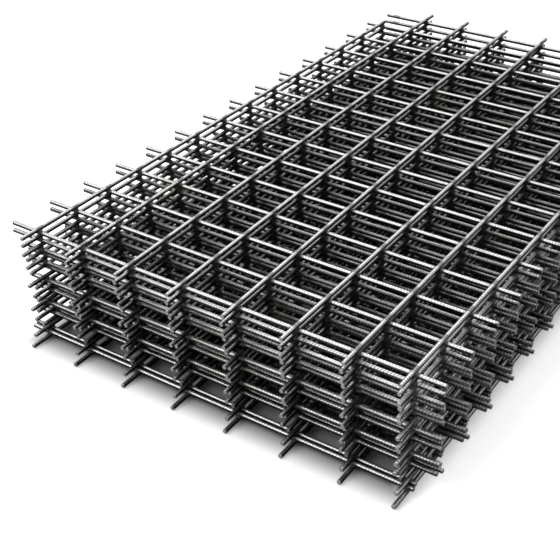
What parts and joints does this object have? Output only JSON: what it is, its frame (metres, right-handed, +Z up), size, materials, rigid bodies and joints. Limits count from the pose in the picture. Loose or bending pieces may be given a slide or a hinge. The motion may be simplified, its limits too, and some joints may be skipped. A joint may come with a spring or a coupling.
{
  "type": "stack of welded wire mesh",
  "caption": "Flat stack of heavy welded reinforcing mesh sheets in ribbed dark steel wire, lying loose on one another, one far corner left open.",
  "frame": {"origin": "middle of the stack's footprint, on the floor it lies on", "axes": "+X across the sheets, along the cross wires; +Y along the long wires, away from the near end; +Z up"},
  "size_m": [1.0248, 1.5235, 0.2645],
  "materials": {
    "mesh_wire": "dark mill scale, satin, with worn bright crests"
  },
  "bodies": {
    "root": {"sheet_01": "mesh_wire", "sheet_02": "mesh_wire", "sheet_03": "mesh_wire", "sheet_04": "mesh_wire", "sheet_05": "mesh_wire", "sheet_06": "mesh_wire", "sheet_07": "mesh_wire", "sheet_08": "mesh_wire", "sheet_09": "mesh_wire", "sheet_10": "mesh_wire", "sheet_11": "mesh_wire", "sheet_12": "mesh_wire", "sheet_13": "mesh_wire", "sheet_14": "mesh_wire", "sheet_15": "mesh_wire", "sheet_16": "mesh_wire"}
  },
  "joints": []
}
